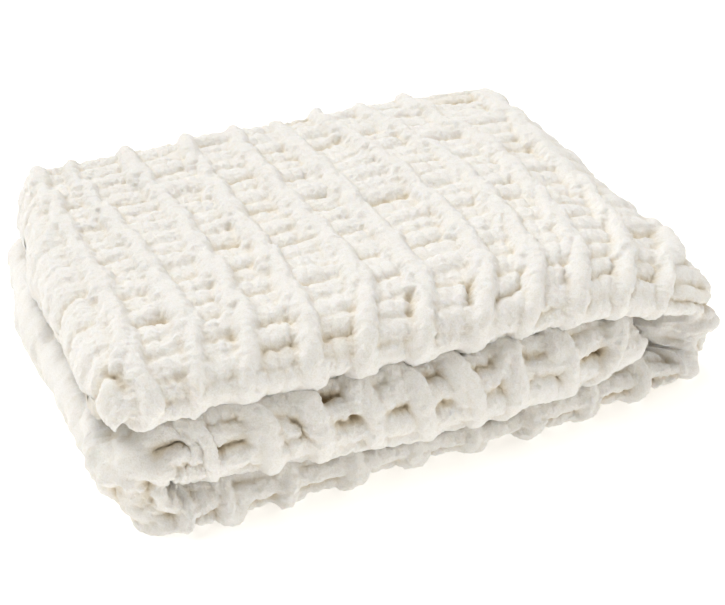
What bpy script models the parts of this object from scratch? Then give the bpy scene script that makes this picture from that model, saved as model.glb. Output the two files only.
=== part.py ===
"""A chunky chenille throw, folded in thirds across its width and then in thirds along its length.

The folded cloth is one closed solid. Its section, across the depth, is one cloth folded back and
forth in three plies. That section is swept along the path of the second fold: the middle panel,
the left fold, the bottom panel, the wrap at the right end and the top panel. The knitted ribs are
raised across the outer faces.
"""

import math

import bpy
import numpy as np

# Main sizes, in metres. +X is the right end, -Y is the closed front fold, +Z is up.
BOTTOM_HALF = 0.0215  # half the thickness of each folded panel, three plies
MIDDLE_HALF = 0.0320
TOP_HALF = 0.0240
PANEL_GAP = 0.0020  # between one panel and the next
PLY_GAP = 0.0015  # between the plies of one panel
MIDDLE_END_X = 0.202  # the free end that is folded in
LEFT_FOLD_X = -0.262  # where the left fold starts to turn
RIGHT_WRAP_X = 0.2435  # where the right wrap starts to turn
TOP_END_X = -0.302  # the free end on top
WRAP_CORNER = 0.030  # radius of the wrap's two corners, on the panel's middle
CENTRE_X, CENTRE_Y = -0.0021, -0.0165  # middle of the folded throw, moved to the origin

# The knit.
RIB_PITCH = 0.0550
RIB_HALF_WIDTH = 0.0130
RIB_RISE = 0.0060
TOP_RIB_X = (-0.260, -0.212, -0.158, -0.103, -0.046, 0.011, 0.076, 0.130, 0.194, 0.241)

# How the panel changes along the second fold, a row for each place on the path: half thickness,
# the front fold's reach, the back edge, and the depth of the front's outer and inner rounding.
SECTIONS = (
    # part, share, half, front, back, round_out, round_in
    ("middle", 0.00, 0.0280, -0.232, 0.190, 0.032, 0.034),
    ("middle", 0.08, 0.0315, -0.244, 0.198, 0.034, 0.036),
    ("middle", 0.15, 0.0320, -0.247, 0.200, 0.034, 0.038),
    ("middle", 0.35, 0.0320, -0.252, 0.203, 0.034, 0.038),
    ("middle", 0.60, 0.0320, -0.249, 0.200, 0.034, 0.038),
    ("middle", 0.88, 0.0315, -0.240, 0.196, 0.034, 0.034),
    ("left", 0.00, 0.0268, -0.234, 0.194, 0.032, 0.028),
    ("left", 0.50, 0.0260, -0.224, 0.190, 0.034, 0.026),
    ("left", 1.00, 0.0215, -0.231, 0.190, 0.026, 0.024),
    ("bottom", 0.10, 0.0215, -0.233, 0.195, 0.024, 0.022),
    ("bottom", 0.45, 0.0215, -0.232, 0.200, 0.024, 0.022),
    ("bottom", 0.80, 0.0215, -0.237, 0.204, 0.024, 0.022),
    ("wrap", 0.00, 0.0215, -0.230, 0.200, 0.030, 0.022),
    ("wrap", 0.50, 0.0225, -0.220, 0.200, 0.040, 0.022),
    ("wrap", 1.00, 0.0235, -0.236, 0.206, 0.050, 0.024),
    ("top", 0.10, 0.0240, -0.242, 0.214, 0.056, 0.024),
    ("top", 0.25, 0.0240, -0.243, 0.217, 0.060, 0.024),
    ("top", 0.45, 0.0240, -0.240, 0.200, 0.060, 0.024),
    ("top", 0.60, 0.0240, -0.236, 0.202, 0.056, 0.024),
    ("top", 0.80, 0.0240, -0.232, 0.187, 0.052, 0.024),
    ("top", 1.00, 0.0225, -0.226, 0.189, 0.046, 0.024),
)

# How far the middle panel's puffed front hangs over the bottom panel, from the left end.
OVERHANG = (
    # x, drop
    (-0.260, 0.000),
    (-0.180, 0.002),
    (-0.090, 0.006),
    (0.000, 0.011),
    (0.080, 0.011),
    (0.140, 0.006),
    (0.200, 0.000),
)

# How the two ends change through the depth, a row for each place from front to back: how far the
# left fold, the top panel's free end and the wrap reach out, and how far each end sinks.
ENDS = (
    # y, left_reach, top_reach, wrap_reach, left_sink, wrap_sink
    (-0.240, -0.036, -0.032, -0.008, 0.006, 0.050),
    (-0.205, -0.018, -0.008, -0.001, 0.006, 0.044),
    (-0.150, -0.011, -0.001, 0.002, 0.006, 0.032),
    (-0.090, -0.008, 0.000, 0.004, 0.006, 0.024),
    (-0.030, -0.006, 0.002, 0.006, 0.006, 0.018),
    (0.040, 0.001, 0.002, 0.009, 0.006, 0.006),
    (0.110, -0.006, -0.006, 0.012, 0.005, 0.001),
    (0.200, -0.012, -0.014, 0.013, 0.006, 0.000),
)

# Where the outer face rises or sinks, a row for each soft swelling or hollow: place along the
# path's part and through the depth, its reach each way, and its height.
SWELLS = (
    # part, share, y, reach_along, reach_deep, height
    ("top", 0.12, -0.02, 0.060, 0.120, 0.0020),
    ("top", 0.36, 0.10, 0.070, 0.090, 0.0025),
    ("top", 0.52, -0.08, 0.060, 0.080, -0.0020),
    ("top", 0.78, 0.02, 0.070, 0.100, -0.0025),
    ("top", 0.95, 0.12, 0.050, 0.070, 0.0020),
)

SECTION_FIELDS = ("half", "front", "back", "round_out", "round_in")
# Every ply bends at the same depths, so that facing plies stay apart.
DEPTHS = (-0.180, -0.120, -0.050, 0.040, 0.130)
FRONT_STEPS = 7  # faces round each fold
BACK_STEPS = 3

bottom_z = BOTTOM_HALF
middle_z = 2 * BOTTOM_HALF + PANEL_GAP + MIDDLE_HALF
top_z = 2 * BOTTOM_HALF + 2 * PANEL_GAP + 2 * MIDDLE_HALF + TOP_HALF
left_radius = (middle_z - bottom_z) / 2
wrap_rise = top_z - bottom_z - 2 * WRAP_CORNER


def path_parts():
    """Each part of the second fold's path: its name, length and the function that follows it."""
    corner = math.pi / 2 * WRAP_CORNER

    def line(x0, z0, heading):
        return lambda d: (x0 + heading * d, z0, heading, 0.0)

    def left(d):
        a = d / left_radius
        x = LEFT_FOLD_X - left_radius * math.sin(a)
        z = bottom_z + left_radius + left_radius * math.cos(a)
        return x, z, -math.cos(a), -math.sin(a)

    def wrap(d):
        if d < corner:
            a = d / WRAP_CORNER
            x = RIGHT_WRAP_X + WRAP_CORNER * math.sin(a)
            z = bottom_z + WRAP_CORNER - WRAP_CORNER * math.cos(a)
            return x, z, math.cos(a), math.sin(a)
        if d < corner + wrap_rise:
            return RIGHT_WRAP_X + WRAP_CORNER, bottom_z + WRAP_CORNER + d - corner, 0.0, 1.0
        a = (d - corner - wrap_rise) / WRAP_CORNER
        x = RIGHT_WRAP_X + WRAP_CORNER * math.cos(a)
        z = top_z - WRAP_CORNER + WRAP_CORNER * math.sin(a)
        return x, z, -math.sin(a), math.cos(a)

    return (
        ("middle", MIDDLE_END_X - LEFT_FOLD_X, line(MIDDLE_END_X, middle_z, -1.0)),
        ("left", math.pi * left_radius, left),
        ("bottom", RIGHT_WRAP_X - LEFT_FOLD_X, line(LEFT_FOLD_X, bottom_z, 1.0)),
        ("wrap", 2 * corner + wrap_rise, wrap),
        ("top", RIGHT_WRAP_X - TOP_END_X, line(RIGHT_WRAP_X, top_z, -1.0)),
    )


PARTS = path_parts()
STARTS = dict(zip([p[0] for p in PARTS], np.cumsum([0.0] + [p[1] for p in PARTS[:-1]])))
LENGTHS = {p[0]: p[1] for p in PARTS}
TOTAL = sum(LENGTHS.values())


def along(part, share):
    """The distance along the path of a place given by its part and its share of that part."""
    return STARTS[part] + share * LENGTHS[part]


def path_at(s):
    """(x, z, tangent x, tangent z) of the path at distance s."""
    for name, length, follow in PARTS:
        if s <= STARTS[name] + length or name == PARTS[-1][0]:
            return follow(s - STARTS[name])


def smooth(t):
    t = np.clip(t, 0.0, 1.0)
    return t * t * (3 - 2 * t)


def eased(x, xs, values):
    """Values between rows of a table, eased so that the rows join without a kink."""
    i = int(np.clip(np.searchsorted(xs, x) - 1, 0, len(xs) - 2))
    t = (x - xs[i]) / (xs[i + 1] - xs[i])
    slope = np.gradient(values, xs)
    step = xs[i + 1] - xs[i]
    t = min(max(t, 0.0), 1.0)
    a, b = values[i], values[i + 1]
    ma, mb = slope[i] * step, slope[i + 1] * step
    return (
        (2 * t**3 - 3 * t**2 + 1) * a
        + (t**3 - 2 * t**2 + t) * ma
        + (-2 * t**3 + 3 * t**2) * b
        + (t**3 - t**2) * mb
    )


SECTION_S = np.array([along(row[0], row[1]) for row in SECTIONS])
SECTION_VALUES = {f: np.array([row[2 + i] for row in SECTIONS]) for i, f in enumerate(SECTION_FIELDS)}
END_Y = np.array([row[0] for row in ENDS])
OVERHANG_X, OVERHANG_DROP = np.array(OVERHANG).T
END_FIELDS = ("left_reach", "top_reach", "wrap_reach", "left_sink", "wrap_sink")
END_VALUES = {f: np.array([row[1 + i] for row in ENDS]) for i, f in enumerate(END_FIELDS)}


def section_at(s):
    """The section's sizes at distance s, by name."""
    return {f: float(eased(s, SECTION_S, SECTION_VALUES[f])) for f in SECTION_FIELDS}


def section_points(size, shrink=1.0):
    """Matched points of the cloth's face and reverse across the section.

    A point is (y, w, rib y, rib w). w is the height on the panel, from its middle to its outer
    side, and the last two say which way a rib raises the point.
    """
    half = size["half"]
    full = (2 * half - 2 * PLY_GAP) / 3
    ply = full * shrink
    mid = full + PLY_GAP  # from the panel's middle to the middle of its outer ply
    front, back = size["front"], size["back"]
    face, reverse = [], []

    def put(y, w, ny, nw, thick, rib_y=0.0, rib_w=0.0):
        face.append((y + ny * thick / 2, w + nw * thick / 2, rib_y, rib_w))
        reverse.append((y - ny * thick / 2, w - nw * thick / 2, 0.0, 0.0))

    # The outer ply, from its free edge at the back towards the front fold.
    put(back, mid, 0.0, 1.0, ply * 0.35)
    put(back - 0.006, mid, 0.0, 1.0, ply * 0.90, 0.0, 0.6)
    for y in reversed(DEPTHS):
        put(y, mid, 0.0, 1.0, ply, 0.0, 1.0)
    # The front fold, whose rounding is deeper on its outer side.
    for i in range(1, FRONT_STEPS + 1):
        a = math.pi / 2 - math.pi * i / FRONT_STEPS
        deep = size["round_out"] if a > 0 else size["round_in"]
        outer = (front + deep * (1 - math.cos(a)), (mid + ply / 2) * math.sin(a))
        inner = (front + ply + (deep - ply) * (1 - math.cos(a)), (mid - ply / 2) * math.sin(a))
        n = math.hypot(math.cos(a) * half, math.sin(a) * deep)
        rib = 1.0 if a > -1.2 else 0.0
        rib_w = rib * max(math.sin(a), 0.0) * deep / n
        face.append((*outer, -rib * math.cos(a) * half / n, rib_w))
        reverse.append((*inner, 0.0, 0.0))
    # The inner ply, back to the tight fold at the back.
    turn = mid / 2
    low_end = back - 0.004 - turn
    for y in (*DEPTHS, low_end):
        put(y, -mid, 0.0, -1.0, ply)
    for i in range(1, BACK_STEPS + 1):
        a = -math.pi / 2 + math.pi * i / BACK_STEPS
        y, w = low_end + turn * math.cos(a), -turn + turn * math.sin(a)
        put(y, w, math.cos(a), math.sin(a), ply, math.cos(a) if i < BACK_STEPS else 0.0)
    # The ply folded in, forward to its free edge inside the front fold.
    for y in reversed(DEPTHS):
        put(y, 0.0, 0.0, 1.0, ply * (0.9 if y == DEPTHS[0] else 1.0))
    put(DEPTHS[0] - 0.004, 0.0, 0.0, 1.0, ply * 0.35)
    return face, reverse


def outer_weight(s):
    """How far the panel's outer side shows at distance s, and so has its ribs and swellings."""
    under = STARTS["bottom"] + 0.02, STARTS["wrap"] - 0.01
    if s < STARTS["left"]:
        return float(smooth((s - STARTS["left"] + 0.035) / 0.035))
    if s < under[0]:
        return float(1 - smooth((s - under[0] + 0.035) / 0.035))
    if s < under[1]:
        return 0.0
    return float(smooth((s - under[1]) / 0.030))


def swelling(s, y):
    total = 0.0
    for part, share, y0, reach_s, reach_y, height in SWELLS:
        d = ((s - along(part, share)) / reach_s) ** 2 + ((y - y0) / reach_y) ** 2
        total += height * math.exp(-d)
    return total


def overhang(x, y, z):
    """How far the join of the bottom and middle panels hangs at the front."""
    join = 2 * BOTTOM_HALF
    above = top_z - TOP_HALF
    tent = z / join if z < join else (above - z) / (above - join)
    near_front = float(smooth((-0.05 - y) / 0.15))
    return float(np.interp(x, OVERHANG_X, OVERHANG_DROP)) * near_front * min(max(tent, 0.0), 1.0)


def fold_map(s, y, w, size):
    """The place of a point at distance s, depth y and height w on the panel, in metres."""
    x, z, tx, tz = path_at(s)
    nx, nz = tz, -tx  # the panel's outer side is to the right of the way
    x, z = x + nx * w, z + nz * w
    if w > 0:
        z += nz * swelling(s, y) * min(w / size["half"], 1.0)
    z -= overhang(x, y, z)
    # The whole pile is pressed in at its ends, so every layer moves together and none meet.
    end = {f: float(eased(y, END_Y, END_VALUES[f])) for f in END_FIELDS}
    left = float(smooth((-0.200 - x) / 0.100))
    right = float(smooth((x - 0.130) / 0.150))
    on_top = float(smooth((z - 0.090) / 0.040))
    x -= left * (end["left_reach"] * (1 - on_top) + end["top_reach"] * on_top)
    x += right * end["wrap_reach"]
    z *= 1 - (left * end["left_sink"] + right * end["wrap_sink"]) / (top_z + TOP_HALF)
    return x - CENTRE_X, y - CENTRE_Y, max(z, 0.0)


def rib_places():
    """Distances along the path of the ribs."""
    top = [STARTS["top"] + RIGHT_WRAP_X - x for x in TOP_RIB_X]
    first = min(top)
    places = list(np.arange(0.022, first - 0.6 * RIB_PITCH, RIB_PITCH)) + sorted(top)
    return places


def station_places():
    """(distance, rib share, edge share) of each station, three for each rib."""
    stations = [(0.0, 0.0, 0.45), (0.0025, 0.0, 0.85)]
    for s in rib_places():
        for offset, rib in ((-RIB_HALF_WIDTH, 0.0), (0.0, 1.0), (RIB_HALF_WIDTH, 0.0)):
            if s + offset > 0.004 and s + offset < TOTAL - 0.005:
                stations.append((s + offset, rib, 1.0))
    stations += [(TOTAL - 0.0025, 0.0, 0.85), (TOTAL, 0.0, 0.45)]
    return sorted(stations)


def folded_throw():
    verts, faces = [], []
    rings = []
    for s, rib, edge in station_places():
        size = section_at(s)
        rise = RIB_RISE * rib
        face, reverse = section_points(size, edge)
        outer = outer_weight(s)
        ring = []
        for side in (face, reverse[::-1]):
            for y, w, rib_y, rib_w in side:
                ring.append(len(verts))
                verts.append(fold_map(s, y + rib_y * rise, w + rib_w * rise * outer, size))
        rings.append(ring)
    count = len(rings[0])
    for a, b in zip(rings, rings[1:]):
        for i in range(count):
            j = (i + 1) % count
            faces.append((a[i], b[i], b[j], a[j]))
    for ring, turned in ((rings[0], False), (rings[-1], True)):
        for i in range(count // 2 - 1):
            quad = (ring[i], ring[count - 1 - i], ring[count - 2 - i], ring[i + 1])
            faces.append(quad if turned else quad[::-1])
    mesh = bpy.data.meshes.new("blanket")
    mesh.from_pydata(verts, [], faces)
    mesh.validate()
    return mesh


def chenille():
    material = bpy.data.materials.new("off-white chenille")
    material.use_nodes = True
    surface = material.node_tree.nodes["Principled BSDF"]
    surface.inputs["Base Color"].default_value = (0.88, 0.86, 0.81, 1.0)
    surface.inputs["Roughness"].default_value = 0.95
    surface.inputs["Metallic"].default_value = 0.0
    return material


def main():
    for old in list(bpy.data.objects):
        bpy.data.objects.remove(old)
    mesh = folded_throw()
    for polygon in mesh.polygons:
        polygon.use_smooth = True
    blanket = bpy.data.objects.new("blanket", mesh)
    bpy.context.collection.objects.link(blanket)
    mesh.materials.append(chenille())


main()
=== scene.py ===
import collections
import math

import bpy
import numpy as np
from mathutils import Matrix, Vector


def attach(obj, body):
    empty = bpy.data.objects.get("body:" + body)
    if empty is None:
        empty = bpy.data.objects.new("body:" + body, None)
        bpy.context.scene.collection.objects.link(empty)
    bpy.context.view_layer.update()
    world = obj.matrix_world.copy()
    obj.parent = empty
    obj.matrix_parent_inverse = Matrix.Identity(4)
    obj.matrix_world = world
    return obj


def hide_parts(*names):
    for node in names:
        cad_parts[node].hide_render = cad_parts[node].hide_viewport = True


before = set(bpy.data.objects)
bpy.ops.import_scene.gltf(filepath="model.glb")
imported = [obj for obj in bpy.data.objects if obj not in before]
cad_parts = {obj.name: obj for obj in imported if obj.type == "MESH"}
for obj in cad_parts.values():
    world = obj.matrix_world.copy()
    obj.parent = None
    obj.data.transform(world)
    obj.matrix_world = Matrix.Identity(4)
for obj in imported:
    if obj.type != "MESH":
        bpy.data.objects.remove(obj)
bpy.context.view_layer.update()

# ---------------------------------------------------------------------------------------------
# The fold: the same named sizes as the solid's, in metres
# ---------------------------------------------------------------------------------------------
BOTTOM_HALF = 0.0215  # half the height of each folded panel
MIDDLE_HALF = 0.0320
TOP_HALF = 0.0240
PANEL_GAP = 0.0020
PLY_GAP = 0.0015
MIDDLE_END_X = 0.202
LEFT_FOLD_X = -0.262
RIGHT_WRAP_X = 0.2435
TOP_END_X = -0.302
WRAP_CORNER = 0.030
CENTRE_X, CENTRE_Y = -0.0021, -0.0165  # what is taken off, so that the part stands centred
FOLDED_IN_Y = -0.184  # the free edge of the ply folded in

SECTIONS = (
    # part, share, half, front, back, round_out, round_in
    ("middle", 0.00, 0.0280, -0.232, 0.190, 0.032, 0.034),
    ("middle", 0.08, 0.0315, -0.244, 0.198, 0.034, 0.036),
    ("middle", 0.15, 0.0320, -0.247, 0.200, 0.034, 0.038),
    ("middle", 0.35, 0.0320, -0.252, 0.203, 0.034, 0.038),
    ("middle", 0.60, 0.0320, -0.249, 0.200, 0.034, 0.038),
    ("middle", 0.88, 0.0315, -0.240, 0.196, 0.034, 0.034),
    ("left", 0.00, 0.0268, -0.234, 0.194, 0.032, 0.028),
    ("left", 0.50, 0.0260, -0.224, 0.190, 0.034, 0.026),
    ("left", 1.00, 0.0215, -0.231, 0.190, 0.026, 0.024),
    ("bottom", 0.10, 0.0215, -0.233, 0.195, 0.024, 0.022),
    ("bottom", 0.45, 0.0215, -0.232, 0.200, 0.024, 0.022),
    ("bottom", 0.80, 0.0215, -0.237, 0.204, 0.024, 0.022),
    ("wrap", 0.00, 0.0215, -0.230, 0.200, 0.030, 0.022),
    ("wrap", 0.50, 0.0225, -0.220, 0.200, 0.040, 0.022),
    ("wrap", 1.00, 0.0235, -0.236, 0.206, 0.050, 0.024),
    ("top", 0.10, 0.0240, -0.242, 0.214, 0.056, 0.024),
    ("top", 0.25, 0.0240, -0.243, 0.217, 0.060, 0.024),
    ("top", 0.45, 0.0240, -0.240, 0.200, 0.060, 0.024),
    ("top", 0.60, 0.0240, -0.236, 0.202, 0.056, 0.024),
    ("top", 0.80, 0.0240, -0.232, 0.187, 0.052, 0.024),
    ("top", 1.00, 0.0225, -0.226, 0.189, 0.046, 0.024),
)
OVERHANG = (
    # x, drop
    (-0.260, 0.000),
    (-0.180, 0.002),
    (-0.090, 0.006),
    (0.000, 0.011),
    (0.080, 0.011),
    (0.140, 0.006),
    (0.200, 0.000),
)
ENDS = (
    # y, left_reach, top_reach, wrap_reach, left_sink, wrap_sink
    (-0.240, -0.036, -0.032, -0.008, 0.006, 0.050),
    (-0.205, -0.018, -0.008, -0.001, 0.006, 0.044),
    (-0.150, -0.011, -0.001, 0.002, 0.006, 0.032),
    (-0.090, -0.008, 0.000, 0.004, 0.006, 0.024),
    (-0.030, -0.006, 0.002, 0.006, 0.006, 0.018),
    (0.040, 0.001, 0.002, 0.009, 0.006, 0.006),
    (0.110, -0.006, -0.006, 0.012, 0.005, 0.001),
    (0.200, -0.012, -0.014, 0.013, 0.006, 0.000),
)
SWELLS = (
    # part, share, y, reach_along, reach_deep, height
    ("top", 0.12, -0.02, 0.060, 0.120, 0.0020),
    ("top", 0.36, 0.10, 0.070, 0.090, 0.0025),
    ("top", 0.52, -0.08, 0.060, 0.080, -0.0020),
    ("top", 0.78, 0.02, 0.070, 0.100, -0.0025),
    ("top", 0.95, 0.12, 0.050, 0.070, 0.0020),
)

bottom_z = BOTTOM_HALF
middle_z = 2 * BOTTOM_HALF + PANEL_GAP + MIDDLE_HALF
top_z = 2 * BOTTOM_HALF + 2 * PANEL_GAP + 2 * MIDDLE_HALF + TOP_HALF
left_radius = (middle_z - bottom_z) / 2
corner = math.pi / 2 * WRAP_CORNER
wrap_rise = top_z - bottom_z - 2 * WRAP_CORNER

LENGTHS = {
    "middle": MIDDLE_END_X - LEFT_FOLD_X,
    "left": math.pi * left_radius,
    "bottom": RIGHT_WRAP_X - LEFT_FOLD_X,
    "wrap": 2 * corner + wrap_rise,
    "top": RIGHT_WRAP_X - TOP_END_X,
}
STARTS = dict(zip(LENGTHS, np.cumsum([0.0] + list(LENGTHS.values())[:-1])))
TOTAL = sum(LENGTHS.values())


def along(part, share):
    return STARTS[part] + share * LENGTHS[part]


def smooth(t):
    t = np.clip(t, 0.0, 1.0)
    return t * t * (3 - 2 * t)


def eased(x, xs, values):
    """Values between rows of a table, eased so that the rows join without a kink."""
    xs, values = np.asarray(xs, float), np.asarray(values, float)
    x = np.asarray(x, float)
    i = np.clip(np.searchsorted(xs, x) - 1, 0, len(xs) - 2)
    step = xs[i + 1] - xs[i]
    t = np.clip((x - xs[i]) / step, 0.0, 1.0)
    slope = np.gradient(values, xs)
    ma, mb = slope[i] * step, slope[i + 1] * step
    return (
        (2 * t**3 - 3 * t**2 + 1) * values[i]
        + (t**3 - 2 * t**2 + t) * ma
        + (-2 * t**3 + 3 * t**2) * values[i + 1]
        + (t**3 - t**2) * mb
    )


def path_at(s):
    """x, z and heading of the second fold's path at distances s."""
    d = s - STARTS["middle"]
    x, z = MIDDLE_END_X - d, np.full_like(s, middle_z)
    tx, tz = np.full_like(s, -1.0), np.zeros_like(s)

    on = s >= STARTS["left"]
    a = (s - STARTS["left"]) / left_radius
    x = np.where(on, LEFT_FOLD_X - left_radius * np.sin(a), x)
    z = np.where(on, bottom_z + left_radius + left_radius * np.cos(a), z)
    tx, tz = np.where(on, -np.cos(a), tx), np.where(on, -np.sin(a), tz)

    on = s >= STARTS["bottom"]
    x = np.where(on, LEFT_FOLD_X + s - STARTS["bottom"], x)
    z = np.where(on, bottom_z, z)
    tx, tz = np.where(on, 1.0, tx), np.where(on, 0.0, tz)

    on = s >= STARTS["wrap"]
    a = (s - STARTS["wrap"]) / WRAP_CORNER
    x = np.where(on, RIGHT_WRAP_X + WRAP_CORNER * np.sin(a), x)
    z = np.where(on, bottom_z + WRAP_CORNER - WRAP_CORNER * np.cos(a), z)
    tx, tz = np.where(on, np.cos(a), tx), np.where(on, np.sin(a), tz)

    on = s >= STARTS["wrap"] + corner
    x = np.where(on, RIGHT_WRAP_X + WRAP_CORNER, x)
    z = np.where(on, bottom_z + WRAP_CORNER + s - STARTS["wrap"] - corner, z)
    tx, tz = np.where(on, 0.0, tx), np.where(on, 1.0, tz)

    on = s >= STARTS["wrap"] + corner + wrap_rise
    a = (s - STARTS["wrap"] - corner - wrap_rise) / WRAP_CORNER
    x = np.where(on, RIGHT_WRAP_X + WRAP_CORNER * np.cos(a), x)
    z = np.where(on, top_z - WRAP_CORNER + WRAP_CORNER * np.sin(a), z)
    tx, tz = np.where(on, -np.sin(a), tx), np.where(on, np.cos(a), tz)

    on = s >= STARTS["top"]
    x = np.where(on, RIGHT_WRAP_X - (s - STARTS["top"]), x)
    z = np.where(on, top_z, z)
    tx, tz = np.where(on, -1.0, tx), np.where(on, 0.0, tz)
    return x, z, tx, tz


SECTION_S = [along(row[0], row[1]) for row in SECTIONS]
FIELDS = ("half", "front", "back", "round_out", "round_in")
END_Y = [row[0] for row in ENDS]
END_FIELDS = ("left_reach", "top_reach", "wrap_reach", "left_sink", "wrap_sink")


def section_sizes(s):
    return {f: eased(s, SECTION_S, [row[2 + i] for row in SECTIONS]) for i, f in enumerate(FIELDS)}


def end_sizes(y):
    return {f: eased(y, END_Y, [row[1 + i] for row in ENDS]) for i, f in enumerate(END_FIELDS)}


def fold_map(s, y, w, half):
    """The place of points at distance s, depth y and height w on the panel, in metres."""
    x, z, tx, tz = path_at(s)
    nx, nz = tz, -tx
    x, z = x + nx * w, z + nz * w
    swell = 0.0
    for part, share, y0, reach_s, reach_y, height in SWELLS:
        away = ((s - along(part, share)) / reach_s) ** 2 + ((y - y0) / reach_y) ** 2
        swell = swell + height * np.exp(-away)
    z = z + nz * swell * np.clip(w / half, 0.0, 1.0)
    # The front sags between the two joins of the panels.
    join, above = 2 * BOTTOM_HALF, top_z - TOP_HALF
    tent = np.clip(np.where(z < join, z / join, (above - z) / (above - join)), 0.0, 1.0)
    drop = np.interp(x, [row[0] for row in OVERHANG], [row[1] for row in OVERHANG])
    z = z - drop * smooth((-0.05 - y) / 0.15) * tent
    # The ends reach out and sink unevenly from front to back.
    ends = end_sizes(y)
    left = smooth((-0.200 - x) / 0.100)
    right = smooth((x - 0.130) / 0.150)
    on_top = smooth((z - 0.090) / 0.040)
    x = x - left * (ends["left_reach"] * (1 - on_top) + ends["top_reach"] * on_top)
    x = x + right * ends["wrap_reach"]
    z = z * (1 - (left * ends["left_sink"] + right * ends["wrap_sink"]) / (top_z + TOP_HALF))
    return np.stack([x - CENTRE_X, y - CENTRE_Y, z], -1)


# The cloth's face and reverse across the section, measured along the face from the front fold's
# foremost line: v is positive over the outer ply to its back edge, and negative under and round
# the back fold. Rows of the knit run at even shares of it.
OUTER_REACH = 0.470  # the outer ply's usual length from the front fold to its free edge
EDGE_TURN = 0.022  # and on round that edge
INNER_REACH = 0.480  # from the front fold, under, to the end of the back fold
DEEP_REACH = 0.860  # and on to the free edge folded in
END_ROUND = 0.0225  # the cloth's two ends round off over this length
END_TURN = 1.75  # a little past a right angle, so that the two sides lap
CORNER_ROUND = 0.014  # how far the front and the back draw in at those ends
REVERSE_INSET = 0.010  # how far inside the face the reverse rounds off there
FIRST = END_ROUND - END_ROUND * END_TURN
LAST = TOTAL - FIRST
# Rows along a section: round the free edge, over the outer ply, round the front fold, under the
# panel, round the back fold, and along the ply folded in.
EDGE_ROWS, OUTER_ROWS, FRONT_ROUND_ROWS = 12, 60, 41
LOWER_ROWS, BACK_ROUND_ROWS, INNER_ROWS = 60, 17, 50
FOREMOST_ROW = EDGE_ROWS + OUTER_ROWS + FRONT_ROUND_ROWS // 2


def section_outline(size):
    """(v, y, w on the face, y, w on the reverse) along one section, from the free edge inwards."""
    half = size["half"]
    ply = (2 * half - 2 * PLY_GAP) / 3
    mid = ply + PLY_GAP
    front, back = size["front"], size["back"]
    rows = []
    for a in np.linspace(math.pi, 0, EDGE_ROWS, endpoint=False):
        c, k = math.cos(a), math.sin(a)
        middle = half - ply / 2
        rows.append((back + ply / 2 * k, middle + ply / 2 * c, back - 0.002, middle))
    for y in np.linspace(back, front + size["round_out"], OUTER_ROWS, endpoint=False):
        rows.append((y, half, y, half - ply))
    for a in np.linspace(math.pi / 2, -math.pi / 2, FRONT_ROUND_ROWS):
        deep = size["round_out"] if a > 0 else size["round_in"]
        c, k = 1 - math.cos(a), math.sin(a)
        inside = front + ply + (deep - ply) * c
        rows.append((front + deep * c, half * k, inside, (half - ply) * k))
    turn = mid / 2
    low_end = back - 0.004 - turn
    for y in np.linspace(front + size["round_in"], low_end, LOWER_ROWS)[1:]:
        rows.append((y, -half, y, -half + ply))
    for a in np.linspace(-math.pi / 2, math.pi / 2, BACK_ROUND_ROWS)[1:]:
        c, k = math.cos(a), math.sin(a)
        far, near = turn + ply / 2, max(turn - ply / 2, 0.0005)
        outer = (low_end + far * c, -turn + far * k)
        rows.append((*outer, low_end + near * c, -turn + near * k))
    fold_end = len(rows) - 1
    for y in np.linspace(low_end, FOLDED_IN_Y, INNER_ROWS)[1:]:
        rows.append((y, ply / 2, y, -ply / 2))
    rows = np.array(rows)
    run = np.concatenate([[0], np.cumsum(np.hypot(*np.diff(rows[:, :2], axis=0).T))])
    run = run[FOREMOST_ROW] - run
    edge, fold, last = run[EDGE_ROWS], run[fold_end], run[-1]
    v = np.select(
        [run > edge, run > 0, run >= fold],
        [OUTER_REACH + run - edge, run / edge * OUTER_REACH, run / -fold * INNER_REACH],
        -INNER_REACH - (fold - run) / (fold - last) * (DEEP_REACH - INNER_REACH),
    )
    return v, rows


GRID_STEP = 0.0040
EDGE = OUTER_REACH + EDGE_TURN
S_GRID = np.linspace(FIRST, LAST, int((LAST - FIRST) / GRID_STEP))
V_GRID = np.linspace(-DEEP_REACH, EDGE, int((DEEP_REACH + OUTER_REACH + EDGE_TURN) / GRID_STEP))


def rounded_ends(s, radius):
    """The distance along the path and the share of the thickness left, as the ends round off."""
    turn = np.clip(np.maximum(END_ROUND - s, s - TOTAL + END_ROUND) / END_ROUND, 0, END_TURN)
    reach = radius * np.sin(turn)
    ends = np.where(s > TOTAL / 2, TOTAL - END_ROUND + reach, END_ROUND - reach)
    return np.where(turn > 0, ends, s), np.cos(turn)


def tucked(points, v):
    """Brings the wrap's inner ply in against the middle panel's end, behind its round front."""
    share = 0.88 * smooth((-v - 0.014) / 0.048) * smooth((v + 0.465) / 0.060)
    past = np.maximum(points[..., 0] - (MIDDLE_END_X + 0.001 - CENTRE_X), 0)
    points[..., 0] -= past * share
    return points


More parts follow.
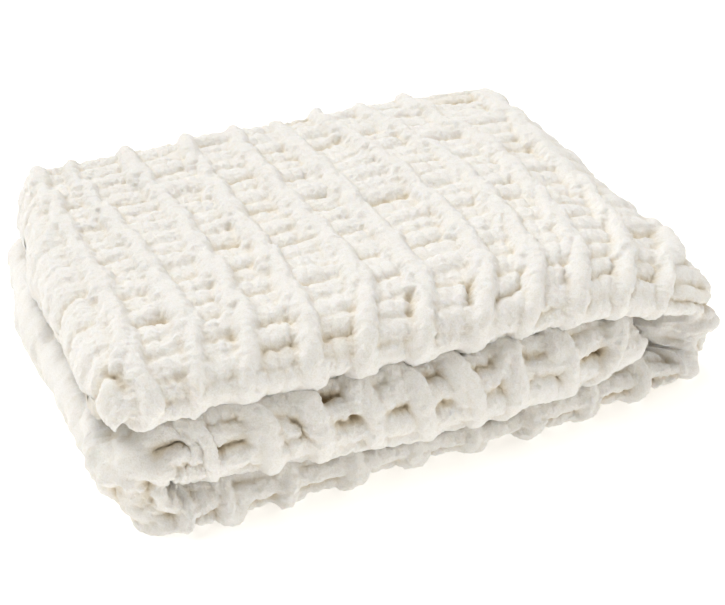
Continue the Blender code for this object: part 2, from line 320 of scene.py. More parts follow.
def cloth_grids():
    """Places on the cloth's face and reverse over the grid of s and v."""
    distance, left = rounded_ends(S_GRID, END_ROUND)
    sizes = section_sizes(distance)
    sizes["front"] = sizes["front"] + CORNER_ROUND * (1 - left)
    sizes["back"] = sizes["back"] - CORNER_ROUND * (1 - left)
    face = np.empty((len(S_GRID), len(V_GRID), 2))
    reverse = np.empty_like(face)
    for i in range(len(S_GRID)):
        v, rows = section_outline({f: float(sizes[f][i]) for f in FIELDS})
        order = slice(None, None, -1)
        for k in range(2):
            face[i, :, k] = np.interp(V_GRID, v[order], rows[order, k])
            reverse[i, :, k] = np.interp(V_GRID, v[order], rows[order, 2 + k])
    grids = []
    for side, radius in ((face, END_ROUND), (reverse, END_ROUND - REVERSE_INSET)):
        s = np.repeat(rounded_ends(S_GRID, radius)[0][:, None], len(V_GRID), 1)
        half = np.repeat(sizes["half"][:, None], len(V_GRID), 1)
        sag = half * (1 - left[:, None]) * (s > TOTAL / 2)
        place = fold_map(s, side[..., 0], side[..., 1] * left[:, None] - sag, half)
        grids.append(tucked(place, V_GRID[None]))
    return grids


FACE, REVERSE = cloth_grids()


def unit(a):
    return a / np.maximum(np.linalg.norm(a, axis=-1, keepdims=True), 1e-9)


def grid_normals():
    """Directions straight out of the cloth's face, levelled a little."""
    ds = np.gradient(FACE, axis=0)
    dv = np.gradient(FACE, axis=1)
    normal = unit(np.cross(dv, ds))
    outward = FACE - REVERSE
    flip = np.sign(np.sum(normal * outward, axis=-1, keepdims=True))
    normal = normal * np.where(flip == 0, 1, flip)
    for _ in range(2):
        wide = np.pad(normal, ((1, 1), (1, 1), (0, 0)), mode="edge")
        beside = wide[:-2, 1:-1] + wide[2:, 1:-1] + wide[1:-1, :-2] + wide[1:-1, 2:]
        normal = unit(wide[1:-1, 1:-1] * 2 + beside)
    return normal


NORMAL = grid_normals()


def between(grid, s, v):
    """Values of a grid between its places."""
    i = np.clip((s - S_GRID[0]) / (S_GRID[1] - S_GRID[0]), 0, len(S_GRID) - 1.001)
    j = np.clip((v - V_GRID[0]) / (V_GRID[1] - V_GRID[0]), 0, len(V_GRID) - 1.001)
    i0, j0 = i.astype(int), j.astype(int)
    a, b = (i - i0)[..., None], (j - j0)[..., None]
    return (
        grid[i0, j0] * (1 - a) * (1 - b)
        + grid[i0 + 1, j0] * a * (1 - b)
        + grid[i0, j0 + 1] * (1 - a) * b
        + grid[i0 + 1, j0 + 1] * a * b
    )


# ---------------------------------------------------------------------------------------------
# Uneven values over places
# ---------------------------------------------------------------------------------------------
def lattice(ix, iy, iz, seed):
    """A fixed value from -1 to 1 for each cell."""
    h = (ix * 374761393 + iy * 668265263 + iz * 2147483629 + seed * 144269504) & 0xFFFFFFFF
    h = ((h ^ (h >> 13)) * 1274126177) & 0xFFFFFFFF
    return ((h ^ (h >> 16)) & 0xFFFF) / 32767.5 - 1.0


def grain(points, size, seed):
    """Smooth random values from -1 to 1 over points, with bumps about size apart."""
    q = points / size
    cell = np.floor(q).astype(np.int64)
    t = q - cell
    t = t * t * (3 - 2 * t)
    total = 0.0
    for dx in (0, 1):
        for dy in (0, 1):
            for dz in (0, 1):
                share = (
                    (t[..., 0] if dx else 1 - t[..., 0])
                    * (t[..., 1] if dy else 1 - t[..., 1])
                    * (t[..., 2] if dz else 1 - t[..., 2])
                )
                corner = (cell[..., 0] + dx, cell[..., 1] + dy, cell[..., 2] + dz)
                total = total + share * lattice(*corner, seed)
    return total


TUFT_HEIGHT, PILE_HEIGHT = 0.0005, 0.0007


def fluffed(points, out, lift):
    """Uneven plush: soft lumps, tufts over them, and the ends of the pile, which lies smoother on
    the ribs. Gives the places and how high the tufts stand, from -1 to 1."""
    rough = 1 - 0.15 * smooth((lift - 0.0005) / 0.0040)
    lumps = grain(points, 0.0320, 2) * 0.0018 + grain(points, 0.0150, 3) * 0.0010
    puffs = (2 * np.abs(grain(points, 0.0085, 5)) - 0.7) * 0.0005
    tufts = grain(points, 0.0042, 8) * TUFT_HEIGHT
    pile = grain(points, 0.0022, 9) * PILE_HEIGHT
    side = np.stack([grain(points, 0.0024, seed) for seed in (31, 32, 33)], -1) * 0.0005
    height = lumps + rough * (puffs + tufts + pile)
    places = points + out * height[..., None] + side * rough[..., None]
    return places, rough * (tufts + pile) / (TUFT_HEIGHT + PILE_HEIGHT)


# ---------------------------------------------------------------------------------------------
# The ribs, and the strands and rolls between them
# ---------------------------------------------------------------------------------------------
# The places, from the back edge to the front fold and under it, where each rib's run is given.
RIB_STATIONS = (0.44, 0.30, 0.18, 0.08, 0.045, 0.00, -0.03)
TOP_RIBS = (
    # back, rear, middle, shoulder, front: on the top panel, from its start
    (-0.064, -0.058, -0.050, -0.016, 0.044),
    (-0.006, 0.004, 0.010, 0.038, 0.092),
    (0.074, 0.056, 0.072, 0.098, 0.140),
    (0.138, 0.112, 0.124, 0.146, 0.184),
    (0.190, 0.173, 0.176, 0.193, 0.233),
    (0.244, 0.243, 0.247, 0.254, 0.283),
    (0.297, 0.301, 0.297, 0.306, 0.331),
    (0.350, 0.356, 0.358, 0.365, 0.376),
    (0.417, 0.406, 0.409, 0.413, 0.428),
    (0.480, 0.463, 0.456, 0.457, 0.474),
    (0.518, 0.505, 0.502, 0.508, 0.521),
)
MIDDLE_RIBS = (
    # above the front's foremost line, below it: on the middle panel and the left fold
    (0.038, 0.062),
    (0.112, 0.094),
    (0.158, 0.157),
    (0.215, 0.186),
    (0.258, 0.232),
    (0.298, 0.284),
    (0.346, 0.327),
    (0.390, 0.370),
    (0.446, 0.424),
    (0.494, 0.486),
    (0.545, 0.548),
)
UNDER_RIBS = (
    # back, front: on the bottom panel and the wrap, from the start of the top panel
    (-0.603, -0.603),
    (-0.549, -0.548),
    (-0.495, -0.492),
    (-0.441, -0.434),
    (-0.387, -0.376),
    (-0.333, -0.317),
    (-0.279, -0.256),
    (-0.225, -0.193),
    (-0.172, -0.128),
    (-0.118, -0.066),
)
TOP_START = STARTS["top"]


# How far each station lies from the first of a row's two values to the second.
MIDDLE_SHARES = (0, 0, 0, 0, 0, 0.6, 1)
UNDER_SHARES = (0, 0.1, 0.3, 0.65, 0.8, 1, 1)
PAST_END = 0.012  # a rib out of sight past each end of the cloth closes the last columns


def rib_table():
    """Distances along the path of every rib at RIB_STATIONS, in order."""
    rows = [[above + (below - above) * k for k in MIDDLE_SHARES] for above, below in MIDDLE_RIBS]
    for back, front in UNDER_RIBS:
        rows.append([TOP_START + back + (front - back) * k for k in UNDER_SHARES])
    for back, rear, middle, shoulder, front in TOP_RIBS:
        near = shoulder + (front - shoulder) * 0.42
        rows.append([TOP_START + s for s in (back, rear, middle, shoulder, near, front, front)])
    stations = len(RIB_STATIONS)
    return np.array([[FIRST - PAST_END] * stations] + rows + [[LAST + PAST_END] * stations])


RIBS = rib_table()


def rib_at(number, v):
    """Distance along the path of a rib at v."""
    return np.interp(v, RIB_STATIONS[::-1], RIBS[number][::-1])


def column_middle(column, v):
    """Distance along the path of the middle between a rib and the next."""
    return float(rib_at(column, v) + rib_at(column + 1, v)) / 2


def part_of(s):
    for name in reversed(list(STARTS)):
        if s >= STARTS[name]:
            return name
    return "middle"


Strand = collections.namedtuple("Strand", "rib tip length lean high full")
Roll = collections.namedtuple("Roll", "column v start stop tilt arc high full fall lobes phase")

STRAND = 0.100  # a rib's strand, from its tip to where it goes under
STRAND_PITCH = 0.062
ROW_PITCH = 0.0262
STRANDS_END, ROLLS_END = 0.53, 0.495  # where the last of a rib and of a column start, at the back
HOLE_CHANCE, SHORT_CHANCE = 0.85, 0.20  # in the row of holes, and in the front's other rows
LEFT_TURN = 0.060  # the knit is closed this far either side of the left fold's middle
draw = np.random.default_rng(7)

# The long strand that each rib has round the front fold: where its tip comes out, and its length.
FRONT_STRANDS = {
    "top": (0.106, 0.148),
    "middle": (0.062, 0.118),
    "left": (0.060, 0.110),
    "bottom": (0.050, 0.100),
    "wrap": (0.080, 0.120),
}
# Rows of rolls round the front fold, and the row that leaves holes beside the ribs.
FRONT_ROWS = {
    "top": ((0.064, 0.037, 0.010, -0.016, -0.042), 0.037),
    "middle": ((0.040, 0.014, -0.012, -0.038), 0.014),
    "left": ((0.044, 0.018, -0.010, -0.038), 0.018),
    "bottom": ((0.045, 0.018, -0.010, -0.038), 0.018),
    "wrap": ((0.044, 0.018, -0.010, -0.038), 0.018),
}

ROLL_FALL = 0.0075
# How deep the furrows between the rolls are, beside the usual.
ROLL_DEPTH = {"top": 0.74, "middle": 1.5, "left": 0.9, "bottom": 1.3, "wrap": 0.9}


def new_strand(number, tip, length):
    return Strand(
        rib=number,
        tip=tip,
        length=length,
        lean=draw.uniform(0.7, 1.2),
        high=draw.normal(0, 0.0007),
        full=draw.uniform(0.95, 1.08),
    )


def new_roll(column, v, start=0.0, stop=1.0):
    """A roll over a share of its column. The columns at the cloth's two ends are nearly plain,
    and where the left fold turns no roll stops short."""
    middle = column_middle(column, v)
    if abs(middle - along("left", 0.5)) < LEFT_TURN:
        start, stop = 0.0, 1.0
    plain = column in (0, len(RIBS) - 2)
    return Roll(
        column=column,
        v=v,
        start=start,
        stop=stop,
        tilt=draw.normal(0, 0.0028),
        arc=draw.normal(0.0015, 0.0022),
        high=draw.normal(0, 0.0014),
        full=draw.uniform(0.94, 1.06),
        fall=ROLL_FALL * (0.45 if plain else ROLL_DEPTH[part_of(middle)]),
        lobes=draw.uniform(3.2, 4.6),
        phase=draw.uniform(0, 1),
    )


def rib_strands():
    """The strands of every rib: a long one round the front fold, then on to the back and under."""
    strands = []
    for number in range(1, len(RIBS) - 1):
        tip, length = FRONT_STRANDS[part_of(float(rib_at(number, 0.0)))]
        tip += draw.uniform(-0.014, 0.014)
        strands.append(new_strand(number, tip, length))
        v = tip + STRAND_PITCH * draw.uniform(0.9, 1.1)
        while v < STRANDS_END:
            strands.append(new_strand(number, v, STRAND * draw.uniform(0.92, 1.10)))
            v += STRAND_PITCH * draw.uniform(0.9, 1.1)
        v = tip - length + 0.035
        while v > -DEEP_REACH:
            strands.append(new_strand(number, v, STRAND * draw.uniform(0.92, 1.10)))
            v -= STRAND_PITCH
    return strands


def column_rolls():
    """Rolls between neighbouring ribs. Some start short of the rib and leave a hole beside it."""
    rolls = []
    for column in range(len(RIBS) - 1):
        rows, hole = FRONT_ROWS[part_of(column_middle(column, 0.0))]
        shift = draw.uniform(-0.005, 0.005)
        for v in rows:
            place = v + shift + draw.normal(0, 0.0015)
            if v == hole and draw.random() < HOLE_CHANCE:
                rolls.append(new_roll(column, place, draw.uniform(0.38, 0.46)))
                rolls.append(new_roll(column, place - 0.004, 0.0, draw.uniform(0.14, 0.19)))
            elif draw.random() < SHORT_CHANCE:
                rolls.append(new_roll(column, place, draw.uniform(0.20, 0.27)))
            else:
                rolls.append(new_roll(column, place))
        v = rows[0] + shift + ROW_PITCH
        while v < ROLLS_END:
            short = draw.random() < (0.30 if v < 0.15 else 0.10)
            start = draw.uniform(0.20, 0.30) if short else 0.0
            rolls.append(new_roll(column, v + draw.normal(0, 0.0014), start))
            v += ROW_PITCH * draw.uniform(0.93, 1.07)
        v = rows[-1] + shift - ROW_PITCH
        while v > -DEEP_REACH:
            rolls.append(new_roll(column, v + draw.normal(0, 0.0014)))
            v -= ROW_PITCH * draw.uniform(0.93, 1.07)
    return rolls


STRANDS = rib_strands()
ROLLS = column_rolls()

# ---------------------------------------------------------------------------------------------
# The relief: how high the plush stands over the cloth's face
# ---------------------------------------------------------------------------------------------
FLOOR_LIFT = -0.0170  # the bottom of a hole
BLEND = 0.0012  # how softly neighbouring yarn runs together
RIB_TOP, RIB_HALF, RIB_FALL = 0.0072, 0.0102, 0.0112
ROLL_TOP, ROLL_HALF = 0.0002, 0.0150


def window(line, low, high):
    """The part of a line that a strand or roll reaches."""
    return slice(*np.searchsorted(line, (low, high)))


def strand_lift(s, v, strand):
    """A rib's strand: a pointed tip comes out, and the foot bends away and goes under."""
    nearest = np.clip(v, strand.tip - strand.length, strand.tip)
    t = (strand.tip - nearest) / strand.length
    foot = smooth((t - 0.88) / 0.12)
    middle = rib_at(strand.rib, nearest) + strand.lean * 0.0062 * (2 * t - 1) + 0.003 * foot
    shape = 0.60 + 0.40 * smooth(t / 0.30) ** 0.8
    across = np.hypot((s - middle) * 0.93, v - nearest) / (RIB_HALF * strand.full * shape)
    top = RIB_TOP + strand.high - 0.0036 * (1 - smooth(t / 0.20)) - 0.0040 * foot**1.4
    return top - RIB_FALL * shape * across**2.6


def roll_lift(s, v, roll):
    """A plump roll between two ribs, in a few soft lumps."""
    low, high = rib_at(roll.column, v), rib_at(roll.column + 1, v)
    t = (s - low) / (high - low)
    inside = np.clip(t, roll.start, roll.stop)
    beyond = (t - inside) * (high - low)
    middle = roll.v + roll.tilt * (2 * t - 1) + roll.arc * np.sin(math.pi * np.clip(t, 0, 1))
    lump = np.sqrt(np.abs(np.sin(math.pi * (roll.lobes * t + roll.phase)))) - 0.75
    # Under the front's foremost line the rolls stand nearly as high as the ribs.
    low_front = smooth((0.004 - roll.v) / 0.030) * smooth((roll.v + 0.130) / 0.060)
    top = ROLL_TOP + roll.high + 0.0015 * lump + 0.0050 * low_front
    across = np.hypot(v - middle, beyond * 2.2) / (ROLL_HALF * roll.full * (1 + 0.05 * lump))
    return top - roll.fall * across**2.5


# The pile blurs where one strand or roll ends and the next starts.
BLUR_ALONG = (
    # size, shift, seed
    (0.022, 0.0022, 21),
    (0.0055, 0.0012, 22),
    (0.0029, 0.0008, 28),
)
BLUR_ACROSS = (
    (0.022, 0.0022, 23),
    (0.0055, 0.0013, 25),
    (0.0029, 0.0008, 29),
)


def blurred(flat, values, shifts):
    """Values of s or v shifted unevenly."""
    for size, shift, seed in shifts:
        values = values + grain(flat, size, seed) * shift
    return values


def yarn_lift(s_line, v_line, s, v):
    """How high the nearest strands and rolls stand, run together softly, down to a hole's floor."""
    total = np.full(s.shape, math.exp(FLOOR_LIFT / BLEND))
    for strand in STRANDS:
        foot = strand.tip - strand.length
        run = rib_at(strand.rib, np.array([strand.tip, strand.tip - strand.length / 2, foot]))
        i = window(s_line, run.min() - 0.028, run.max() + 0.028)
        j = window(v_line, foot - 0.018, strand.tip + 0.014)
        if i.stop > i.start and j.stop > j.start:
            total[i, j] += np.exp(strand_lift(s[i, j], v[i, j], strand) / BLEND)
    for roll in ROLLS:
        near = roll.v + np.array([-0.034, 0.0, 0.034])
        low, high = rib_at(roll.column, near).min(), rib_at(roll.column + 1, near).max()
        i = window(s_line, low - 0.022, high + 0.022)
        j = window(v_line, near[0], near[2])
        if i.stop > i.start and j.stop > j.start:
            total[i, j] += np.exp(roll_lift(s[i, j], v[i, j], roll) / BLEND)
    return BLEND * np.log(total)


def toward(lift, level, share):
    return lift + (level - lift) * share


def relief(s_line, v_line):
    """Lift over the grid of two lines of s and v."""
    s, v = np.meshgrid(s_line, v_line, indexing="ij")
    flat = np.stack([s, v, np.zeros_like(s)], -1)
    s, v = blurred(flat, s, BLUR_ALONG), blurred(flat, v, BLUR_ACROSS)
    lift = yarn_lift(s_line, v_line, s, v)
    left = np.exp(-(((s - along("left", 0.5)) / 0.070) ** 2))
    right = np.exp(-(((s - along("wrap", 0.5)) / 0.085) ** 2))
    # The knit lies flatter where the left fold turns inwards, and under the top panel's end it
    # lies in, behind the part that hangs over.
    lift = toward(lift, 0.0005, 0.75 * left * smooth((0.010 - v) / 0.025))
    at_end = smooth((s - TOTAL + END_ROUND - 0.004) / 0.014)
    below = smooth((0.004 - v) / 0.020) * smooth((v + 0.330) / 0.050)
    lift = toward(lift, -0.0055, at_end * below)
    # The yarn bunches up round the two folds, most in the hollow of the right one.
    hollow = smooth((-0.012 - v) / 0.030)
    bunched = (left + (0.5 + 1.2 * hollow) * right) * smooth((0.190 - v) / 0.100)
    spread = flat * np.array([1.35, 1.0, 1.0])
    lumps = grain(spread, 0.021, 26) * 0.0055 + grain(spread, 0.011, 27) * 0.0034
    return lift + bunched * lumps


def levelled(values, reach):
    """Values averaged over a square of reach nodes each way."""
    for axis in (0, 1):
        pad = [(0, 0), (0, 0)]
        pad[axis] = (reach + 1, reach)
        run = np.cumsum(np.pad(values, pad, mode="edge"), axis=axis)
        run = np.moveaxis(run, axis, 0)
        run = (run[2 * reach + 1 :] - run[: -2 * reach - 1]) / (2 * reach + 1)
        values = np.moveaxis(run, 0, axis)
    return values


def stretched(line):
    """The line with two more nodes at each end, for slopes at its ends."""
    step = line[1] - line[0]
    before, after = line[0] - step * np.array([2, 1]), line[-1] + step * np.array([1, 2])
    return np.concatenate([before, line, after])


def plush(s_line, v_line):
    """Places over the grid, how much painted shade each takes, from 0 on top through the furrows to
    1 in a hole, and how high its tufts stand."""
    s_wide, v_wide = stretched(s_line), stretched(v_line)
    lift = relief(s_wide, v_wide)
    s, v = np.meshgrid(s_wide, v_wide, indexing="ij")
    face = unit(between(NORMAL, s, v))
    points = between(FACE, s, v) + face * lift[..., None]
    out = unit(np.cross(np.gradient(points, axis=0), np.gradient(points, axis=1)))
    out = out * np.where(np.sum(out * face, axis=-1, keepdims=True) < 0, -1, 1)
    points, tuft = fluffed(points, unit(out + 0.35 * face), lift)
    reach = max(2, int(round(0.008 / (s_line[1] - s_line[0]))))
    # Painted shade: the plush is coloured darker in the furrows, where it lies below the yarn
    # around it, and darkest down the holes.
    crease_shade = np.clip((levelled(lift, reach) - lift) / 0.0060, 0, 1)
    deep = np.clip(-lift / 0.0140, 0, 1)
    painted_shade = np.clip(0.34 * crease_shade + 0.95 * deep**1.7, 0, 1)
    return points[2:-2, 2:-2], painted_shade[2:-2, 2:-2], tuft[2:-2, 2:-2]


def new_piece(name, points, faces, painted_shade, tuft, material):
    """A smooth mesh of a list of face arrays, with what the chenille reads at each point."""
    mesh = bpy.data.meshes.new(name)
    mesh.vertices.add(len(points))
    mesh.vertices.foreach_set("co", points.astype(np.float32).ravel())
    sizes = [face.shape[1] for face in faces]
    counts = [len(face) for face in faces]
    loops = np.concatenate([face.ravel() for face in faces]).astype(np.int32)
    mesh.loops.add(len(loops))
    mesh.loops.foreach_set("vertex_index", loops)
    mesh.polygons.add(sum(counts))
    corners = np.repeat(sizes, counts)
    mesh.polygons.foreach_set("loop_start", (np.cumsum(corners) - corners).astype(np.int32))
    mesh.update(calc_edges=True)
    mesh.polygons.foreach_set("use_smooth", np.ones(sum(counts), bool))
    for attribute, values in (("painted_shade", painted_shade), ("tuft", tuft)):
        layer = mesh.attributes.new(attribute, "FLOAT", "POINT")
        layer.data.foreach_set("value", values.astype(np.float32).ravel())
    mesh.validate()
    piece = bpy.data.objects.new(name, mesh)
    bpy.context.collection.objects.link(piece)
    mesh.materials.append(material)
    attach(piece, "root")
    return piece


def quads_of(index):
    corners = (index[:-1, :-1], index[:-1, 1:], index[1:, 1:], index[1:, :-1])
    return np.stack(corners, -1).reshape(-1, 4)


def plush_piece(name, s_span, v_span, s_step, v_step):
    """A stretch of the knit's face, resting on the floor where it reaches it."""
    s_line = np.linspace(*s_span, int(round((s_span[1] - s_span[0]) / s_step)) + 1)
    v_line = np.linspace(*v_span, int(round((v_span[1] - v_span[0]) / v_step)) + 1)
    points, painted_shade, tuft = plush(s_line, v_line)
    points[..., 2] = np.maximum(points[..., 2], 0.0)
    index = np.arange(points[..., 0].size).reshape(points.shape[:2])
    return new_piece(name, points.reshape(-1, 3), [quads_of(index)], painted_shade, tuft, YARN_WITH_PAINTED_SHADE)


# ---------------------------------------------------------------------------------------------
# Materials
# ---------------------------------------------------------------------------------------------
def plush_group():
    """Fine pile: its height, the painted shade between its tufts, and the mesh's painted shade."""
    group = bpy.data.node_groups.new("plush", "ShaderNodeTree")
    face = group.interface
    face.new_socket("Tuft size", in_out="INPUT", socket_type="NodeSocketFloat")
    face.new_socket("Pile height", in_out="OUTPUT", socket_type="NodeSocketFloat")
    face.new_socket("Gap shade", in_out="OUTPUT", socket_type="NodeSocketFloat")
    face.new_socket("Depth", in_out="OUTPUT", socket_type="NodeSocketFloat")
    nodes, links = group.nodes, group.links
    start, end = nodes.new("NodeGroupInput"), nodes.new("NodeGroupOutput")
    place = nodes.new("ShaderNodeTexCoord")
    scale = nodes.new("ShaderNodeMath")
    scale.operation = "DIVIDE"
    scale.inputs[0].default_value = 1.0
    links.new(start.outputs["Tuft size"], scale.inputs[1])
    tufts = nodes.new("ShaderNodeTexNoise")
    tufts.inputs["Detail"].default_value = 2.5
    tufts.inputs["Roughness"].default_value = 0.7
    links.new(place.outputs["Object"], tufts.inputs["Vector"])
    links.new(scale.outputs[0], tufts.inputs["Scale"])
    links.new(tufts.outputs["Fac"], end.inputs["Pile height"])
    # Painted shade in the pile: darker between the tufts of the mesh, and between the finer ends.
    tuft = nodes.new("ShaderNodeAttribute")
    tuft.attribute_name = "tuft"
    coarse = nodes.new("ShaderNodeMapRange")
    coarse.inputs["From Min"].default_value = 0.35
    coarse.inputs["From Max"].default_value = -0.75
    links.new(tuft.outputs["Fac"], coarse.inputs["Value"])
    fine = nodes.new("ShaderNodeMapRange")
    fine.inputs["From Min"].default_value = 0.62
    fine.inputs["From Max"].default_value = 0.32
    links.new(tufts.outputs["Fac"], fine.inputs["Value"])
    both = nodes.new("ShaderNodeMath")
    both.operation = "MULTIPLY_ADD"
    both.inputs[1].default_value = 0.35
    links.new(coarse.outputs["Result"], both.inputs[0])
    links.new(fine.outputs["Result"], both.inputs[2])
    links.new(both.outputs[0], end.inputs["Gap shade"])
    painted_shade = nodes.new("ShaderNodeAttribute")
    painted_shade.attribute_name = "painted_shade"
    links.new(painted_shade.outputs["Fac"], end.inputs["Depth"])
    return group


PLUSH = plush_group()


def chenille(name, light, shade, deep, tuft, pile):
    """Off-white chenille: its own colour, light, on top; painted shade, the colour shade in the
    furrows and deep down the holes, and a darker tint between the tufts; tufts of a size and a
    height of pile."""
    material = bpy.data.materials.new(name)
    material.use_nodes = True
    nodes, links = material.node_tree.nodes, material.node_tree.links
    surface = nodes["Principled BSDF"]
    plush_detail = nodes.new("ShaderNodeGroup")
    plush_detail.node_tree = PLUSH
    plush_detail.inputs["Tuft size"].default_value = tuft
    # The ramp paints shade: light is the yarn's own colour, shade is painted shade in the furrows
    # and deep is painted shade down the holes.
    ramp = nodes.new("ShaderNodeValToRGB")
    ramp.color_ramp.elements[0].color = (*light, 1)
    ramp.color_ramp.elements[1].color = (*deep, 1)
    ramp.color_ramp.elements.new(0.45).color = (*shade, 1)
    links.new(plush_detail.outputs["Depth"], ramp.inputs["Fac"])
    # Painted shade between the tufts: the colour is multiplied by this tan where the pile sinks.
    gap_shade = nodes.new("ShaderNodeMix")
    gap_shade.data_type = "RGBA"
    gap_shade.blend_type = "MULTIPLY"
    gap_shade.inputs["B"].default_value = (0.81, 0.775, 0.70, 1)
    reach = nodes.new("ShaderNodeMath")
    reach.operation = "MULTIPLY"
    reach.use_clamp = True
    reach.inputs[1].default_value = 0.45
    links.new(plush_detail.outputs["Gap shade"], reach.inputs[0])
    links.new(reach.outputs[0], gap_shade.inputs["Factor"])
    links.new(ramp.outputs["Color"], gap_shade.inputs["A"])
    links.new(gap_shade.outputs["Result"], surface.inputs["Base Color"])
    bump = nodes.new("ShaderNodeBump")
    bump.inputs["Strength"].default_value = 1.0
    bump.inputs["Distance"].default_value = pile
    links.new(plush_detail.outputs["Pile height"], bump.inputs["Height"])
    links.new(bump.outputs["Normal"], surface.inputs["Normal"])
    surface.inputs["Roughness"].default_value = 1.0
    surface.inputs["Specular IOR Level"].default_value = 0.1
    surface.inputs["Sheen Weight"].default_value = 0.25
    surface.inputs["Sheen Roughness"].default_value = 0.5
    surface.inputs["Subsurface Weight"].default_value = 0.50
    surface.inputs["Subsurface Radius"].default_value = (1.0, 0.88, 0.72)
    surface.inputs["Subsurface Scale"].default_value = 0.004
    return material


# The yarn's own off-white, with painted shade in its furrows, down its holes and between its tufts.
YARN_WITH_PAINTED_SHADE = chenille(
    "chenille_yarn_painted_shade",
    light=(0.964, 0.949, 0.925),
    shade=(0.86, 0.785, 0.65),
    deep=(0.36, 0.26, 0.14),
    tuft=0.0014,
    pile=0.0013,
)
# The core is coloured a darker tan of painted shade: it is seen only down the holes and through the
# openings between the folds.
CORE_PAINTED_SHADE = chenille(
    "chenille_core_painted_shade",
    light=(0.88, 0.82, 0.71),
    shade=(0.84, 0.77, 0.64),
    deep=(0.70, 0.62, 0.48),
    tuft=0.0030,
    pile=0.0010,
)


# ---------------------------------------------------------------------------------------------
# The cloth under the stitches, folded both ways, as one closed sheet, coloured with painted shade
# ---------------------------------------------------------------------------------------------
CORE_ROWS = 110
CORE_UPPER, CORE_LOWER = 0.90, 0.99  # where its two sides lie, from the cloth's face to its reverse


def under_cloth():
    """The core of the cloth: two sides of a grid and the wall round them."""
    rows_s = np.linspace(0.006, TOTAL - 0.006, CORE_ROWS)
    rows_v = np.linspace(-DEEP_REACH + 0.002, OUTER_REACH - 0.008, CORE_ROWS)
    s, v = np.meshgrid(rows_s, rows_v, indexing="ij")
    face, back = between(FACE, s, v), between(REVERSE, s, v)
    upper = face + (back - face) * CORE_UPPER
    lower = face + (back - face) * CORE_LOWER
    for side in (upper, lower):
        side[..., 2] = np.maximum(side[..., 2], 0.001)
    a, b = upper.shape[:2]
    index = np.arange(a * b).reshape(a, b)
    verts = np.concatenate([upper.reshape(-1, 3), lower.reshape(-1, 3)])
    top = quads_of(index)
    under = top[:, ::-1] + a * b
    rim = np.concatenate([index[:, 0], index[-1, 1:], index[::-1, -1][1:], index[0, ::-1][1:-1]])
    nxt = np.roll(rim, -1)
    wall = np.stack([rim, nxt, nxt + a * b, rim + a * b], -1)
    flat = np.zeros(len(verts))
    # The core takes painted shade all over, fixed at 0.8 on the ramp.
    return new_piece("cloth", verts, [top, under, wall], flat + 0.8, flat, CORE_PAINTED_SHADE)


cloth = under_cloth()

# Where neighbouring pieces of the knit meet along the path.
TOP_SPLIT = TOP_START + 0.265
TOP_RIGHT = TOP_START - 0.012
WRAP_JOIN = STARTS["wrap"] - 0.020
LEFT_JOIN = STARTS["bottom"] + 0.03
MIDDLE_JOIN = 0.06
HOLLOW = (STARTS["wrap"] - 0.08, TOP_START + 0.08)
FRONT_BAND = (-0.065, 0.075)

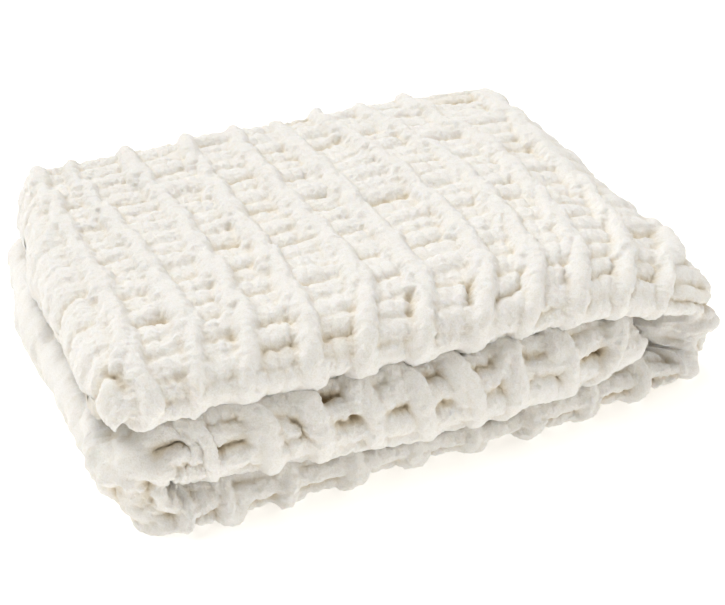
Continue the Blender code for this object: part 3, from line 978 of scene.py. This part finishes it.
pieces = [
    plush_piece(*row)
    for row in (
        # name, along the path, across it, step along, step across
        ("knit_top_left", (TOP_SPLIT, LAST), (-0.070, EDGE), 0.00135, 0.00135),
        ("knit_top_right", (TOP_RIGHT, TOP_SPLIT), (-0.070, EDGE), 0.00135, 0.00135),
        ("knit_top_end", (TOTAL - 0.035, LAST), (-0.420, -0.065), 0.0022, 0.0022),
        ("knit_right", (WRAP_JOIN, TOP_RIGHT), (-0.070, EDGE), 0.0014, 0.00135),
        ("knit_middle_front", (FIRST, STARTS["bottom"]), FRONT_BAND, 0.0012, 0.0012),
        ("knit_bottom_front", (STARTS["bottom"], WRAP_JOIN), FRONT_BAND, 0.0012, 0.0012),
        ("knit_left", (STARTS["left"] - 0.04, LEFT_JOIN), (0.075, EDGE), 0.0019, 0.0019),
        ("knit_under", (LEFT_JOIN, WRAP_JOIN), (0.075, EDGE), 0.0040, 0.0040),
        ("knit_back", (FIRST, LAST), (-0.540, -0.400), 0.0030, 0.0026),
        ("knit_middle_end", (FIRST, MIDDLE_JOIN), (0.075, EDGE), 0.0028, 0.0028),
        ("knit_middle_inner", (FIRST, MIDDLE_JOIN), (-0.400, -0.065), 0.0028, 0.0028),
        ("knit_hollow", HOLLOW, (-0.170, -0.070), 0.0018, 0.0018),
        ("knit_hollow_back", HOLLOW, (-0.400, -0.320), 0.0030, 0.0030),
    )
]
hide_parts("blanket")
for piece in pieces:
    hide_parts("blanket")

# ---------------------------------------------------------------------------------------------
# Floor, light and camera
# ---------------------------------------------------------------------------------------------
bpy.ops.mesh.primitive_plane_add(size=30, location=(0, 0, -0.0005))
floor = bpy.context.object
floor.name = "floor"
pale = bpy.data.materials.new("pale_floor")
pale.use_nodes = True
ground = pale.node_tree.nodes["Principled BSDF"]
ground.inputs["Base Color"].default_value = (0.95, 0.94, 0.92, 1)
ground.inputs["Roughness"].default_value = 1.0
ground.inputs["Specular IOR Level"].default_value = 0.0
ground.inputs["Emission Color"].default_value = (1, 0.99, 0.97, 1)
ground.inputs["Emission Strength"].default_value = 0.42
floor.data.materials.append(pale)

world = bpy.data.worlds.new("studio")
world.use_nodes = True
world.node_tree.nodes["Background"].inputs["Color"].default_value = (1, 0.94, 0.82, 1)
world.node_tree.nodes["Background"].inputs["Strength"].default_value = 0.22
bpy.context.scene.world = world

LIGHTS = (
    # name, strength, heading
    ("key", 2.88, (0.34, -0.43, -0.84)),
    ("fill", 1.38, (-0.84, 0.50, -0.22)),
)
for name, energy, heading in LIGHTS:
    light = bpy.data.objects.new(name, bpy.data.lights.new(name, "SUN"))
    light.data.energy = energy
    light.data.angle = math.radians(80)
    bpy.context.collection.objects.link(light)
    light.rotation_euler = Vector(heading).to_track_quat("-Z", "Y").to_euler()

data = bpy.data.cameras.new("camera")
camera = bpy.data.objects.new("camera", data)
bpy.context.collection.objects.link(camera)
data.sensor_width = 36
data.lens = 54.42
camera.location = (-0.3971 - CENTRE_X, -0.8911 - CENTRE_Y, 0.608)
camera.rotation_euler = (math.radians(90 - 30.4), 0, -math.radians(24.9))
bpy.context.scene.camera = camera
bpy.context.scene.view_settings.view_transform = "Standard"
